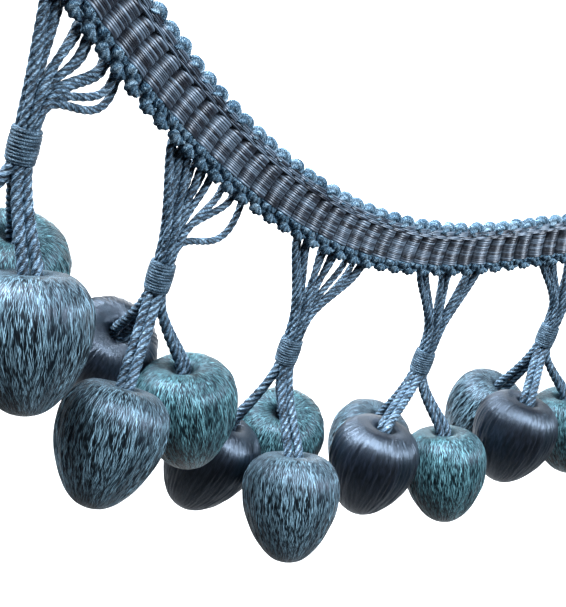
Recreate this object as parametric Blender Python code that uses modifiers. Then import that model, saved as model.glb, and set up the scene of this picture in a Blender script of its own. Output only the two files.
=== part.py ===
"""Ball fringe trim: a ribbed woven heading with looped edges, hanging in a swag, with clusters of cords.

Each cluster is twelve cords that leave the heading's lower edge and are bound together. Below the binding
they are laid two and two into six thicker cords, which part into three pairs. Each pair ends in a
thread-covered ball. The origin is on the heading's top edge at the rib REFERENCE_RIB, +X runs along the trim,
-Y is its face and +Z is up.
"""

import math

import bmesh
import bpy
import numpy as np
from mathutils import Matrix, Vector

MM = 0.001

# Heading, in mm. Heights are measured up the cloth from the ribbed panel's lower edge. The rib pitch and
# the swag below are those of the line at LINE_HEIGHT.
RIB_PITCH = 4.65
REFERENCE_RIB = 16
FIRST_RIB = -6
LAST_RIB = 41
PANEL_HEIGHT = 7.3
LINE_HEIGHT = 4.95
TOP_VALLEY = 10.3
LOWER_VALLEY = -2.6
LOOP_REACH = 1.1
LOWER_REACH = 0.9
PANEL_FACE = 0.5
RIB_RELIEF = 0.45
LOOP_FACE = 0.65
LOOP_RELIEF = 0.35
BACK_FACE = 0.6
BACK_RELIEF = 0.2
LOWER_LOOP_HEIGHT = -2.2
LOWER_GROOVE_HEIGHT = -1.5
LUMP_HEIGHT = -0.75
RIB_FOOT_HEIGHT = 0.5
TOP_GROOVE_HEIGHT = 8.1
TOP_ROUND_HEIGHT = 9.4
BACK_FOOT_HEIGHT = -1.1
# Stations across one rib, as shares of the pitch, and how far each stands proud: 0 in the gap, 1 on the rib.
RIB_STATIONS = ((0.0, 0.0), (0.25, 1.0), (0.75, 1.0))

# How the heading hangs: slope up along the run, direction in plan, and how far its top leans back.
SWAG = (
    # rib, slope_deg, plan_deg, lean_deg
    (-6, -38.0, 10.0, -2.5),
    (0, -35.5, 8.5, -2.5),
    (6, -29.0, 7.0, -1.5),
    (12, -21.0, 2.5, -4.0),
    (18, -11.0, 2.0, 1.0),
    (24, 3.5, -3.5, -4.5),
    (30, 14.0, -5.5, -4.0),
    (36, 13.5, -10.0, -1.0),
    (42, 13.5, -11.0, -1.0),
)
STEPS_PER_RIB = 4  # steps of the line along one rib

# Cords, in mm.
UPPER_RADIUS = 0.8
LOWER_RADIUS = 1.0
ROOT_RADIUS = 0.8
ROOT_HEIGHT = -3.0
ROOT_OUT = -1.7
ROOT_LAYER = 0.8
ROOT_STATIONS = 8
ROOT_OVERHANG_RIBS = 0.3
CORE_RADIUS = 2.0
CORE_SIDES = 10
CORE_PROUD = 1.2
GATHER_LENGTH = 6.0
GATHER_RADIUS = 3.0
HUB_LENGTH = 3.0
HUB_RADIUS = 2.5
CORD_INSET = 0.8
OUTER_RING = 1.55
OUTER_CORDS = 8
INNER_RING = 0.65
INNER_CORDS = 4
RING_TURN = 0.03
UPPER_POINTS = 6
LOWER_POINTS = 5
PAIR_HALF = 1.2
PAIR_START = 0.9
PAIR_START_HALF = 0.75
GATHER_RISE = 8.5
ROOT_PULL = 0.15
LOWER_PULL = 0.35
ENTRY_PULL = 3.0

# The fan that the cords of one cluster make: where each group leaves the heading and how far it hangs slack.
FAN = (
    # cluster, cords, first_rib, ribs_apart, slack_mm
    ("a", 4, -2.2, 0.32, 1.0),
    ("a", 2, -0.3, 0.30, 0.5),
    ("a", 2, 0.35, 0.30, 4.5),
    ("a", 2, 1.5, 0.30, 3.0),
    ("a", 1, 2.25, 0.30, 7.0),
    ("a", 1, 2.6, 0.30, 11.0),
    ("b", 5, 6.35, 0.30, 0.5),
    ("b", 4, 8.1, 0.36, 1.0),
    ("b", 2, 10.2, 0.60, 2.5),
    ("b", 1, 11.6, 0.30, 14.0),
    ("c", 4, 15.35, 0.32, 0.5),
    ("c", 4, 17.1, 0.38, 1.0),
    ("c", 1, 18.9, 0.30, 1.5),
    ("c", 3, 19.6, 0.35, 4.0),
    ("d", 4, 24.1, 0.20, 0.5),
    ("d", 4, 25.65, 0.22, 0.5),
    ("d", 4, 27.35, 0.33, 2.0),
    ("e", 1, 32.65, 0.30, 0.5),
    ("e", 3, 33.15, 0.30, 1.0),
    ("e", 4, 34.6, 0.30, 1.0),
    ("e", 4, 36.2, 0.33, 2.5),
)

CLUSTERS = (
    # name, binding_rib, binding_drop_mm
    ("a", -1.66, 24.1),
    ("b", 7.68, 23.4),
    ("c", 16.9, 24.2),
    ("d", 26.26, 24.2),
    ("e", 35.0, 22.1),
)

# Bindings, in mm.
BINDING_LENGTH = 6.2
BINDING_RADIUS = 2.85
BINDING_BORE = 2.35
BINDING_SIDES = 10

# Balls, in mm. The profile runs down from the socket's floor, as shares of the radius and of the height.
BALL_RADIUS = 11.0
BALL_HEIGHT = 24.6
BALL_SIDES = 10
BALL_PROFILE = (
    # radius_share, depth_share
    (0.26, 0.115),
    (0.33, 0.010),
    (0.46, 0.000),
    (0.77, 0.060),
    (0.95, 0.180),
    (1.00, 0.340),
    (0.92, 0.560),
    (0.73, 0.750),
    (0.44, 0.920),
    (0.18, 0.985),
)
SOCKET_FLOOR = 0.115
CORD_BEND_DEPTH = 0.4
CORD_END_DEPTH = 2.4

# Where each ball's middle hangs, from its binding's bottom, and the share of its cords' slant that it takes. One
# below zero leans the other way.
BALLS = (
    # cluster, colour, along_mm, back_mm, down_mm, slant_share
    ("a", "slate", 3.5, -11.8, 28.0, 0.7),
    ("a", "teal", 9.7, 12.4, 26.3, 0.8),
    ("a", "charcoal", -14.2, 5.1, 25.9, 0.7),
    ("b", "charcoal", 4.2, 19.2, 23.9, 1.0),
    ("b", "slate", -8.4, -11.2, 29.2, 0.7),
    ("b", "teal", 14.9, -3.1, 27.3, 0.7),
    ("c", "charcoal", -8.2, 5.9, 30.4, 0.7),
    ("c", "slate", 0.3, -17.1, 28.7, 0.7),
    ("c", "teal", 16.1, 9.4, 26.8, 0.9),
    ("d", "charcoal", -15.3, -9.0, 23.0, -0.05),
    ("d", "slate", 3.0, 10.8, 29.4, 0.8),
    ("d", "teal", 9.1, -13.2, 24.1, 0.6),
    ("e", "slate", 2.0, 12.0, 28.8, 0.8),
    ("e", "charcoal", -10.4, -9.2, 24.6, -0.05),
    ("e", "teal", 15.4, -8.9, 23.3, 0.7),
)

MATERIALS = (
    # name, linear_colour, roughness
    ("heading_cloth", (0.055, 0.075, 0.105), 0.55),
    ("cord_yarn", (0.030, 0.060, 0.100), 0.60),
    ("binding_thread", (0.050, 0.100, 0.145), 0.55),
    ("ball_slate", (0.055, 0.110, 0.150), 0.45),
    ("ball_teal", (0.085, 0.220, 0.270), 0.45),
    ("ball_charcoal", (0.014, 0.017, 0.028), 0.45),
)

# Points closer than this are one, in metres.
MERGE_DISTANCE = 1e-6


def clear_scene():
    """Removes every object of the scene."""
    for obj in list(bpy.data.objects):
        bpy.data.objects.remove(obj, do_unlink=True)


def make_collection(name, hidden=False):
    """A collection of the scene, left out of renders when hidden."""
    collection = bpy.data.collections.new(name)
    collection.hide_render = hidden
    bpy.context.scene.collection.children.link(collection)
    return collection


def make_material(name, colour, roughness):
    """A Principled material of this linear colour."""
    material = bpy.data.materials.new(name)
    material.use_nodes = True
    shader = material.node_tree.nodes["Principled BSDF"]
    shader.inputs["Base Color"].default_value = (*colour, 1.0)
    shader.inputs["Roughness"].default_value = roughness
    shader.inputs["Metallic"].default_value = 0.0
    return material


def read_table(xs, ys, x):
    """The table's values at x, on a smooth curve through its rows."""
    xs = np.asarray(xs, float)
    ys = np.asarray(ys, float)
    slopes = np.gradient(ys, xs)
    i = np.clip(np.searchsorted(xs, x) - 1, 0, len(xs) - 2)
    width = xs[i + 1] - xs[i]
    s = (x - xs[i]) / width
    start = (1 + 2 * s) * (1 - s) ** 2 * ys[i] + s * (1 - s) ** 2 * width * slopes[i]
    end = s**2 * (3 - 2 * s) * ys[i + 1] + s**2 * (s - 1) * width * slopes[i + 1]
    return start + end


class Run:
    """The hanging heading as a line with a frame at every step: its place, its way up and its face."""

    def __init__(self):
        ribs, slope, plan, lean = np.array(SWAG, float).T
        self.rib = np.arange(FIRST_RIB, ribs[-1] + 1e-9, 1 / STEPS_PER_RIB)
        slope, plan, lean = (np.radians(read_table(ribs, column, self.rib)) for column in (slope, plan, lean))
        flat = np.zeros_like(plan)
        along = np.stack([np.cos(slope) * np.cos(plan), np.cos(slope) * np.sin(plan), np.sin(slope)], axis=1)
        out = np.stack([np.sin(plan), -np.cos(plan), flat], axis=1)
        upright = np.cross(out, along)
        self.up = upright * np.cos(lean)[:, None] - out * np.sin(lean)[:, None]
        self.face = out * np.cos(lean)[:, None] + upright * np.sin(lean)[:, None]
        steps = (along[1:] + along[:-1]) / 2 * RIB_PITCH / STEPS_PER_RIB
        line = np.concatenate([np.zeros((1, 3)), np.cumsum(steps, axis=0)])
        reference = np.argmin(abs(self.rib - REFERENCE_RIB))
        top_edge = line[reference] + self.up[reference] * (TOP_VALLEY - LINE_HEIGHT)
        self.foot = line - self.up * LINE_HEIGHT - top_edge

    def point(self, rib, height, out=0.0):
        """The place at this rib, this far up from the panel's lower edge and this far out of the face."""
        foot, up, face = (
            np.array([np.interp(rib, self.rib, rows[:, axis]) for axis in range(3)])
            for rows in (self.foot, self.up, self.face)
        )
        return foot + up * height + face * out


def new_object(name, mesh, collection, material=None):
    """An object of this mesh in the collection."""
    obj = bpy.data.objects.new(name, mesh)
    collection.objects.link(obj)
    if material is not None:
        mesh.materials.append(material)
    return obj


def loft(name, rings):
    """A closed mesh through rings of the same number of points, capped at both ends."""
    count = len(rings[0])
    points = [tuple(point * MM) for ring in rings for point in ring]
    faces = [
        (
            k * count + i,
            k * count + (i + 1) % count,
            (k + 1) * count + (i + 1) % count,
            (k + 1) * count + i,
        )
        for k in range(len(rings) - 1)
        for i in range(count)
    ]
    faces.append(tuple(range(count)))
    faces.append(tuple((len(rings) - 1) * count + i for i in range(count)))
    mesh = bpy.data.meshes.new(name)
    mesh.from_pydata(points, [], faces)
    work = bmesh.new()
    work.from_mesh(mesh)
    bmesh.ops.recalc_face_normals(work, faces=work.faces)
    bmesh.ops.triangulate(work, faces=work.faces)
    work.to_mesh(mesh)
    work.free()
    return mesh


def heading_section(proud):
    """The heading's outline as (height, out) pairs, from its lower edge up the face and down the back."""
    loops = LOOP_FACE + LOOP_RELIEF * proud
    rib = PANEL_FACE + RIB_RELIEF * proud
    back = -BACK_FACE - BACK_RELIEF * proud
    return (
        (LOWER_VALLEY - LOWER_REACH * proud, 0.0),
        (LOWER_LOOP_HEIGHT, loops),
        (LOWER_GROOVE_HEIGHT, PANEL_FACE),
        (LUMP_HEIGHT, loops),
        (0.0, PANEL_FACE),
        (RIB_FOOT_HEIGHT, rib),
        (PANEL_HEIGHT, rib),
        (TOP_GROOVE_HEIGHT, PANEL_FACE),
        (TOP_ROUND_HEIGHT, loops),
        (TOP_VALLEY + LOOP_REACH * proud, 0.0),
        (TOP_ROUND_HEIGHT, back),
        (BACK_FOOT_HEIGHT, back),
    )


def build_heading(run, collection, material):
    """The woven band, one rib a pitch, with its loops along both edges."""
    rings = []
    for rib in range(FIRST_RIB, LAST_RIB + 1):
        for share, proud in RIB_STATIONS:
            section = heading_section(proud)
            rings.append([run.point(rib + share, height, out) for height, out in section])
    rings.append([run.point(LAST_RIB + 1, height, out) for height, out in heading_section(0.0)])
    return new_object("heading", loft("heading", rings), collection, material)


def bezier(start, start_pull, end_pull, end, count):
    """Points along a cubic curve from start to end."""
    return [
        (1 - t) ** 3 * start + 3 * t * (1 - t) ** 2 * start_pull + 3 * t**2 * (1 - t) * end_pull + t**3 * end
        for t in np.linspace(0.0, 1.0, count)
    ]


def tube(name, points, radius, collection):
    """A four-sided closed tube through the points, as a mesh."""
    curve = bpy.data.curves.new(name, "CURVE")
    curve.dimensions = "3D"
    curve.bevel_depth = radius * MM
    curve.bevel_resolution = 0
    curve.use_fill_caps = True
    spline = curve.splines.new("POLY")
    spline.points.add(len(points) - 1)
    for target, point in zip(spline.points, points):
        target.co = (*(point * MM), 1.0)
    guide = bpy.data.objects.new(name, curve)
    collection.objects.link(guide)
    bpy.context.view_layer.update()
    evaluated = guide.evaluated_get(bpy.context.evaluated_depsgraph_get())
    mesh = bpy.data.meshes.new_from_object(evaluated)
    bpy.data.objects.remove(guide, do_unlink=True)
    work = bmesh.new()
    work.from_mesh(mesh)
    bmesh.ops.remove_doubles(work, verts=work.verts, dist=MERGE_DISTANCE)
    bmesh.ops.recalc_face_normals(work, faces=work.faces)
    work.to_mesh(mesh)
    work.free()
    return new_object(name, mesh, collection)


def core_places():
    """Where the twelve cords enter the core, in two rings, in order along the trim."""
    outer = [(OUTER_RING, (k + 0.5) / OUTER_CORDS + RING_TURN) for k in range(OUTER_CORDS)]
    inner = [(INNER_RING, k / INNER_CORDS + RING_TURN) for k in range(INNER_CORDS)]
    places = [
        np.array([math.cos(2 * math.pi * turn), math.sin(2 * math.pi * turn), 0.0]) * ring
        for ring, turn in outer + inner
    ]
    return sorted(places, key=lambda place: (round(place[0], 3), place[1]))


def fan_roots(name):
    """The cluster's cords as (rib, out, slack) in order along the trim, every second one laid behind the others."""
    groups = [row for row in FAN if row[0] == name]
    steps = [(first + step * apart, slack) for _, cords, first, apart, slack in groups for step in range(cords)]
    return [(rib, ROOT_OUT - ROOT_LAYER * (index % 2), slack) for index, (rib, slack) in enumerate(steps)]


def upper_cords(name, run, core_top, collection):
    """The fan: twelve cords from the heading's lower edge down to the top of the core."""
    for index, ((rib, out, slack), place) in enumerate(zip(fan_roots(name), core_places())):
        root = run.point(rib, ROOT_HEIGHT, out)
        end = core_top + place
        reach = (root - end)[2]
        start_pull = root - np.array([0.0, 0.0, slack + reach * ROOT_PULL])
        end_pull = end + np.array([0.0, 0.0, GATHER_RISE])
        route = bezier(root, start_pull, end_pull, end, UPPER_POINTS)
        tube(f"{name}_upper_{index:02d}", route, UPPER_RADIUS, collection)


def ball_axis(along, back, down, slant_share):
    """The ball's axis, pointing up, when it takes a share of its cords' slant."""
    slanted = Vector((-along, -back, down)).normalized()
    return Vector((0.0, 0.0, 1.0)).lerp(slanted, slant_share).normalized()


def lower_cords(name, core_bottom, hangs, collection):
    """Three pairs of cords, from the bottom of the core into the sockets of the balls, which they enter upright."""
    for pair, (_, _, along, back, down, slant_share) in enumerate(hangs):
        axis = ball_axis(along, back, down, slant_share)
        centre = core_bottom + np.array([along, back, -down]) + np.array([0.0, 0.0, CORE_PROUD])
        mouth = centre + np.array(axis) * (BALL_HEIGHT / 2 - CORD_BEND_DEPTH)
        outward = np.array([along, back, 0.0]) / math.hypot(along, back)
        aside = np.array([-outward[1], outward[0], 0.0])
        for side in (1, -1):
            place = outward * PAIR_START + aside * side * PAIR_START_HALF
            start = core_bottom + place + np.array([0.0, 0.0, CORD_INSET])
            bend = mouth + aside * side * PAIR_HALF
            span = np.linalg.norm(bend - start)
            start_pull = start - np.array([0.0, 0.0, span * LOWER_PULL])
            end_pull = bend + np.array(axis) * ENTRY_PULL
            end = bend - np.array(axis) * (CORD_END_DEPTH - CORD_BEND_DEPTH)
            route = bezier(start, start_pull, end_pull, bend, LOWER_POINTS) + [end]
            tube(f"{name}_lower_{pair}_{side}", route, LOWER_RADIUS, collection)


def outer_skin(name, obj):
    """The object's evaluated mesh in world space without the pockets shut in between its cords."""
    bpy.context.view_layer.update()
    evaluated = obj.evaluated_get(bpy.context.evaluated_depsgraph_get())
    mesh = bpy.data.meshes.new_from_object(evaluated)
    mesh.name = name
    mesh.transform(obj.matrix_world)
    work = bmesh.new()
    work.from_mesh(mesh)
    waiting = set(work.verts)
    shells = []
    while waiting:
        shell = set()
        front = [waiting.pop()]
        while front:
            vert = front.pop()
            shell.add(vert)
            linked = [edge.other_vert(vert) for edge in vert.link_edges]
            fresh = [other for other in linked if other in waiting]
            waiting.difference_update(fresh)
            front.extend(fresh)
        shells.append(shell)
    outer = max(shells, key=lambda shell: max(vert.co.z for vert in shell) - min(vert.co.z for vert in shell))
    bmesh.ops.delete(work, geom=[vert for vert in work.verts if vert not in outer], context="VERTS")
    work.to_mesh(mesh)
    work.free()
    return mesh


def build_cords(cluster, run, collection, cutters, material):
    """One cluster's cords, fused at the root strip and in the core that the binding holds."""
    name = cluster[0]
    middle = binding_middle(run, cluster)
    half = BINDING_LENGTH / 2 + CORE_PROUD
    core_top = middle + np.array([0.0, 0.0, half])
    core_bottom = middle - np.array([0.0, 0.0, half])
    hangs = [row for row in BALLS if row[0] == name]
    pieces = bpy.data.collections.new(f"cords_{name}_pieces")
    cutters.children.link(pieces)
    upper_cords(name, run, core_top, pieces)
    lower_cords(name, core_bottom, hangs, pieces)
    roots = [rib for rib, _, _ in fan_roots(name)]
    ribs = np.linspace(roots[0] - ROOT_OVERHANG_RIBS, roots[-1] + ROOT_OVERHANG_RIBS, ROOT_STATIONS)
    strip = [run.point(rib, ROOT_HEIGHT, ROOT_OUT) for rib in ribs]
    tube(f"{name}_root", strip, ROOT_RADIUS, pieces)
    for piece in pieces.objects:
        piece.hide_render = True
        piece.display_type = "WIRE"
    core = (
        (0.0, half + GATHER_LENGTH),
        (GATHER_RADIUS, half + GATHER_LENGTH),
        (CORE_RADIUS, half),
        (CORE_RADIUS, -half),
        (HUB_RADIUS, -half - HUB_LENGTH / 2),
        (0.0, -half - HUB_LENGTH),
    )
    guide = turned(f"{name}_core", core, CORE_SIDES, cutters)
    guide.location = Vector(middle) * MM
    join = guide.modifiers.new("join", "BOOLEAN")
    join.operation = "UNION"
    join.operand_type = "COLLECTION"
    join.collection = pieces
    join.solver = "EXACT"
    mesh = outer_skin(f"cords_{name}", guide)
    bpy.data.objects.remove(guide, do_unlink=True)
    return new_object(f"cords_{name}", mesh, collection, material)


def binding_middle(run, cluster):
    """The middle of the cluster's binding, straight below the heading's lower edge at its rib."""
    _, rib, drop = cluster
    return run.point(rib, LOWER_VALLEY - LOWER_REACH) - np.array([0.0, 0.0, drop])


def turned(name, profile, sides, collection, material=None):
    """A turned solid: the profile as (radius, height) in mm from its top end, spun round the Z axis."""
    mesh = bpy.data.meshes.new(name)
    points = [(radius * MM, 0.0, height * MM) for radius, height in profile]
    edges = [(i, i + 1) for i in range(len(points) - 1)]
    mesh.from_pydata(points, edges, [])
    obj = new_object(name, mesh, collection, material)
    spin = obj.modifiers.new("spin", "SCREW")
    spin.axis = "Z"
    spin.steps = sides
    spin.render_steps = sides
    spin.use_merge_vertices = True
    spin.merge_threshold = MERGE_DISTANCE
    spin.use_smooth_shade = True
    return obj


def build_binding(cluster, run, collection, material):
    """The wound thread as a sleeve round the core."""
    half = BINDING_LENGTH / 2
    profile = (
        (BINDING_BORE, half),
        (BINDING_RADIUS, half),
        (BINDING_RADIUS, -half),
        (BINDING_BORE, -half),
        (BINDING_BORE, half),
    )
    obj = turned(f"binding_{cluster[0]}", profile, BINDING_SIDES, collection, material)
    obj.location = Vector(binding_middle(run, cluster)) * MM
    return obj


def build_ball(hang, run, collection, material):
    """A thread-covered ball: broad at the top, with a socket for its two cords, and a blunt foot."""
    cluster, colour, along, back, down, slant_share = hang
    row = next(entry for entry in CLUSTERS if entry[0] == cluster)
    profile = [(0.0, BALL_HEIGHT * (0.5 - SOCKET_FLOOR))]
    profile += [(BALL_RADIUS * radius, BALL_HEIGHT * (0.5 - depth)) for radius, depth in BALL_PROFILE]
    profile.append((0.0, -BALL_HEIGHT / 2))
    obj = turned(f"ball_{colour}_{cluster}", profile, BALL_SIDES, collection, material)
    bottom = binding_middle(run, row) - np.array([0.0, 0.0, BINDING_LENGTH / 2])
    centre = Vector(bottom + np.array([along, back, -down])) * MM
    axis = ball_axis(along, back, down, slant_share)
    turn = Vector((0.0, 0.0, 1.0)).rotation_difference(axis).to_matrix().to_4x4()
    obj.matrix_world = Matrix.Translation(centre) @ turn
    return obj


def main():
    clear_scene()
    trim = make_collection("ball_fringe_trim")
    cutters = make_collection("cutters", hidden=True)
    materials = {name: make_material(name, colour, roughness) for name, colour, roughness in MATERIALS}
    run = Run()
    build_heading(run, trim, materials["heading_cloth"])
    for cluster in CLUSTERS:
        build_cords(cluster, run, trim, cutters, materials["cord_yarn"])
        build_binding(cluster, run, trim, materials["binding_thread"])
    for hang in BALLS:
        build_ball(hang, run, trim, materials[f"ball_{hang[1]}"])


main()
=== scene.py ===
"""Ball fringe trim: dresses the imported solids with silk-covered balls, twisted cords, wound bindings and a woven
heading with gimp loops.

Heights on the heading are in mm up the cloth from the lower edge of its ribbed panel. Along it, places are counted
in ribs. +X runs along the trim, -Y is its face and +Z is up.
"""

import math

import bpy
import numpy as np
from bpy.props import FloatProperty, FloatVectorProperty, IntProperty, PointerProperty
from mathutils import Matrix, Vector


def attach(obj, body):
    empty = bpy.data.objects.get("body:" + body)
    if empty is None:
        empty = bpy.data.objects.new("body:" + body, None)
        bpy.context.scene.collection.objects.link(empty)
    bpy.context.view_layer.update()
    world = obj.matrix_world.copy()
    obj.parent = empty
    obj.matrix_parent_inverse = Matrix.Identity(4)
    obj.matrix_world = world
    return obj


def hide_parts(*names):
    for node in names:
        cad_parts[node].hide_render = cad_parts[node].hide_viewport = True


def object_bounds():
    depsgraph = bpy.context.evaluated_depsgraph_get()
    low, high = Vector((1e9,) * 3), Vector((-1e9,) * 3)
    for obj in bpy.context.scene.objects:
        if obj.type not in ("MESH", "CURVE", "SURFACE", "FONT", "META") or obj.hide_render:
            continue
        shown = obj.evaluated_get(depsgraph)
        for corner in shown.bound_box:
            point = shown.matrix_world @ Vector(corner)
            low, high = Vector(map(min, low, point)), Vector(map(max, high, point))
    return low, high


bl_info = {
    "name": "Ball Fringe Trim",
    "version": (1, 0, 0),
    "blender": (4, 5, 0),
    "location": "View3D > Sidebar > Trim",
    "description": "Dresses a ball fringe trim with its heading, cords, bindings and balls",
    "category": "Object",
}

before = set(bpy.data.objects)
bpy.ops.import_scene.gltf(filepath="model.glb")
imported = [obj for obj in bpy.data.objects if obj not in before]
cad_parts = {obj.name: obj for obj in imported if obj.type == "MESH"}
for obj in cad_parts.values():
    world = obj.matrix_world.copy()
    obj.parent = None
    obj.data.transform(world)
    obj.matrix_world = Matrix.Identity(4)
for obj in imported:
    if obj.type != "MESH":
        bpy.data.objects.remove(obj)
CAD_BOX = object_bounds()

MM = 0.001
TURN = 2 * math.pi
UP = np.array([0.0, 0.0, 1.0])

# The heading's make, in mm.
RIB_PITCH = 4.65
REFERENCE_RIB = 16
FIRST_RIB = -6
LAST_RIB = 42
LINE_HEIGHT = 4.95
TOP_VALLEY = 10.3
LOWER_VALLEY = -2.6
LOWER_REACH = 0.9

# How the heading hangs: slope up along the run, direction in plan, and how far its top leans back.
SWAG = (
    # rib, slope_deg, plan_deg, lean_deg
    (-6, -38.0, 10.0, -2.5),
    (0, -35.5, 8.5, -2.5),
    (6, -29.0, 7.0, -1.5),
    (12, -21.0, 2.5, -4.0),
    (18, -11.0, 2.0, 1.0),
    (24, 3.5, -3.5, -4.5),
    (30, 14.0, -5.5, -4.0),
    (36, 13.5, -10.0, -1.0),
    (42, 13.5, -11.0, -1.0),
)
STEPS_PER_RIB = 16

# The cords' routes, in mm: their roots behind the heading's lower edge, the two rings in which they enter the binding,
# and the pairs that leave it.
ROOT_HEIGHT = -3.0
ROOT_OUT = -1.7
ROOT_LAYER = 0.8
ROOT_TUCK = (2.6, 0.6)
CORE_PROUD = 1.2
CORE_DEPTH = 1.8
CORE_CLOSING = 0.35
OUTER_RING = 1.55
OUTER_CORDS = 8
INNER_RING = 0.65
INNER_CORDS = 4
RING_TURN = 0.03
PAIR_HALF = 1.2
PAIR_START = 0.9
PAIR_START_HALF = 0.75
PAIR_START_DEPTH = 1.5
PAIR_TURNS = 0.12
GATHER_RISE = 8.5
ROOT_PULL = 0.15
LOWER_PULL = 0.35
ENTRY_PULL = 3.0
CORD_BEND_DEPTH = 0.4
CORD_END_DEPTH = 3.9
LOWER_CORD_RADIUS = 1.1
ROUTE_POINTS = 60

# The fan that the cords of one cluster make: where each group leaves the heading and how far it hangs slack.
FAN = {
    # cluster: cords, first_rib, ribs_apart, slack_mm
    "a": (
        (4, -2.2, 0.32, 1.0),
        (2, -0.3, 0.30, 0.5),
        (2, 0.35, 0.30, 4.5),
        (2, 1.5, 0.30, 3.0),
        (1, 2.25, 0.30, 7.0),
        (1, 2.6, 0.30, 11.0),
    ),
    "b": (
        (5, 6.35, 0.30, 0.5),
        (4, 8.1, 0.36, 1.0),
        (2, 10.2, 0.60, 2.5),
        (1, 11.6, 0.30, 14.0),
    ),
    "c": (
        (4, 15.35, 0.32, 0.5),
        (4, 17.1, 0.38, 1.0),
        (1, 18.9, 0.30, 1.5),
        (3, 19.6, 0.35, 4.0),
    ),
    "d": (
        (4, 24.1, 0.20, 0.5),
        (4, 25.65, 0.22, 0.5),
        (4, 27.35, 0.33, 2.0),
    ),
    "e": (
        (1, 32.65, 0.30, 0.5),
        (3, 33.15, 0.30, 1.0),
        (4, 34.6, 0.30, 1.0),
        (4, 36.2, 0.33, 2.5),
    ),
}

CLUSTERS = {
    # name: (binding_rib, binding_drop_mm)
    "a": (-1.66, 24.1),
    "b": (7.68, 23.4),
    "c": (16.9, 24.2),
    "d": (26.26, 24.2),
    "e": (35.0, 22.1),
}

BINDING_LENGTH = 6.2

# The balls' outline, as shares of the radius and of the height, from the hole in the top down to the foot.
BALL_PROFILE = (
    # radius_share, depth_share
    (0.10, 0.150),
    (0.17, 0.085),
    (0.22, 0.035),
    (0.30, 0.008),
    (0.44, 0.000),
    (0.64, 0.018),
    (0.77, 0.060),
    (0.88, 0.118),
    (0.95, 0.185),
    (0.99, 0.260),
    (1.00, 0.345),
    (0.98, 0.450),
    (0.92, 0.560),
    (0.83, 0.660),
    (0.73, 0.750),
    (0.60, 0.840),
    (0.44, 0.920),
    (0.30, 0.965),
    (0.18, 0.985),
    (0.08, 0.996),
    (0.00, 1.000),
)

# Where each ball's middle hangs, from its binding's bottom, and the share of its cords' slant that it takes. One
# below zero leans the other way.
BALLS = (
    # cluster, colour, along_mm, back_mm, down_mm, slant_share
    ("a", "slate", 3.5, -11.8, 28.0, 0.7),
    ("a", "teal", 9.7, 12.4, 26.3, 0.8),
    ("a", "charcoal", -14.2, 5.1, 25.9, 0.7),
    ("b", "charcoal", 4.2, 19.2, 23.9, 1.0),
    ("b", "slate", -8.4, -11.2, 29.2, 0.7),
    ("b", "teal", 14.9, -3.1, 27.3, 0.7),
    ("c", "charcoal", -8.2, 5.9, 30.4, 0.7),
    ("c", "slate", 0.3, -17.1, 28.7, 0.7),
    ("c", "teal", 16.1, 9.4, 26.8, 0.9),
    ("d", "charcoal", -15.3, -9.0, 23.0, -0.05),
    ("d", "slate", 3.0, 10.8, 29.4, 0.8),
    ("d", "teal", 9.1, -13.2, 24.1, 0.6),
    ("e", "slate", 2.0, 12.0, 28.8, 0.8),
    ("e", "charcoal", -10.4, -9.2, 24.6, -0.05),
    ("e", "teal", 15.4, -8.9, 23.3, 0.7),
)


# ---------------- helpers


def linear(code):
    """The linear RGB of an sRGB hex value: c / 12.92 up to 0.04045, and ((c + 0.055) / 1.055) to 2.4 above."""
    parts = [int(code[i : i + 2], 16) / 255 for i in (1, 3, 5)]
    return tuple(c / 12.92 if c <= 0.04045 else ((c + 0.055) / 1.055) ** 2.4 for c in parts)


def read_table(xs, ys, x):
    """The table's values at x, on a cubic Hermite curve through its rows."""
    xs = np.asarray(xs, float)
    ys = np.asarray(ys, float)
    slopes = np.gradient(ys, xs)
    i = np.clip(np.searchsorted(xs, x) - 1, 0, len(xs) - 2)
    width = xs[i + 1] - xs[i]
    s = (x - xs[i]) / width
    start = (1 + 2 * s) * (1 - s) ** 2 * ys[i] + s * (1 - s) ** 2 * width * slopes[i]
    end = s**2 * (3 - 2 * s) * ys[i + 1] + s**2 * (s - 1) * width * slopes[i + 1]
    return start + end


def unit(vectors):
    """The vectors of the last axis at length one."""
    return vectors / np.linalg.norm(vectors, axis=-1, keepdims=True)


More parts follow.
